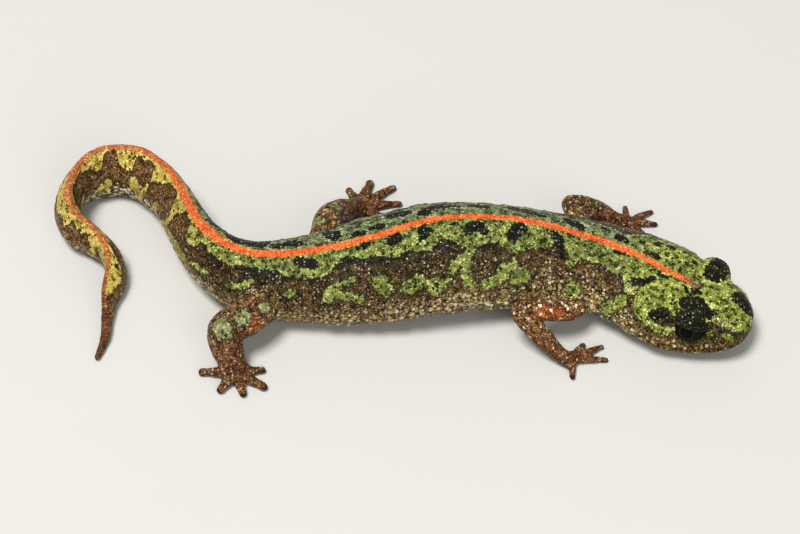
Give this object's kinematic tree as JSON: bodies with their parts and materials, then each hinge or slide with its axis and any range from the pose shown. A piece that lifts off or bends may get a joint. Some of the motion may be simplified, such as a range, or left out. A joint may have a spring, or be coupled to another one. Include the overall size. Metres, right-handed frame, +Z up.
{
  "type": "marbled newt model",
  "caption": "Life-size still model of a marbled newt lying on a floor, body gently arched, tail curled into an open hook, legs spread and mouth closed.",
  "frame": {"origin": "on the floor, under the middle of the model's bounding box", "axes": "+Z up, +X along the body towards the head, +Y towards the newt's left side"},
  "size_m": [0.097, 0.0394, 0.0133],
  "materials": {
    "skin": "moist, finely granular skin marbled green on blackish brown, with an orange-red stripe along the back",
    "eye": "glossy dark eye with a thin gold ring"
  },
  "bodies": {
    "root": {"head": "skin", "jaw": "skin", "left_eye": "eye", "right_eye": "eye", "neck": "skin", "chest": "skin", "belly": "skin", "loin": "skin", "pelvis": "skin", "tail_root": "skin", "tail_bend": "skin", "tail_loop_top": "skin", "tail_loop_side": "skin", "tail_return": "skin", "tail_tip": "skin", "right_upper_arm": "skin", "right_forearm": "skin", "right_hand": "skin", "left_upper_arm": "skin", "left_forearm": "skin", "left_hand": "skin", "right_thigh": "skin", "right_shank": "skin", "right_foot": "skin", "left_thigh": "skin", "left_shank": "skin", "left_foot": "skin"}
  },
  "joints": []
}
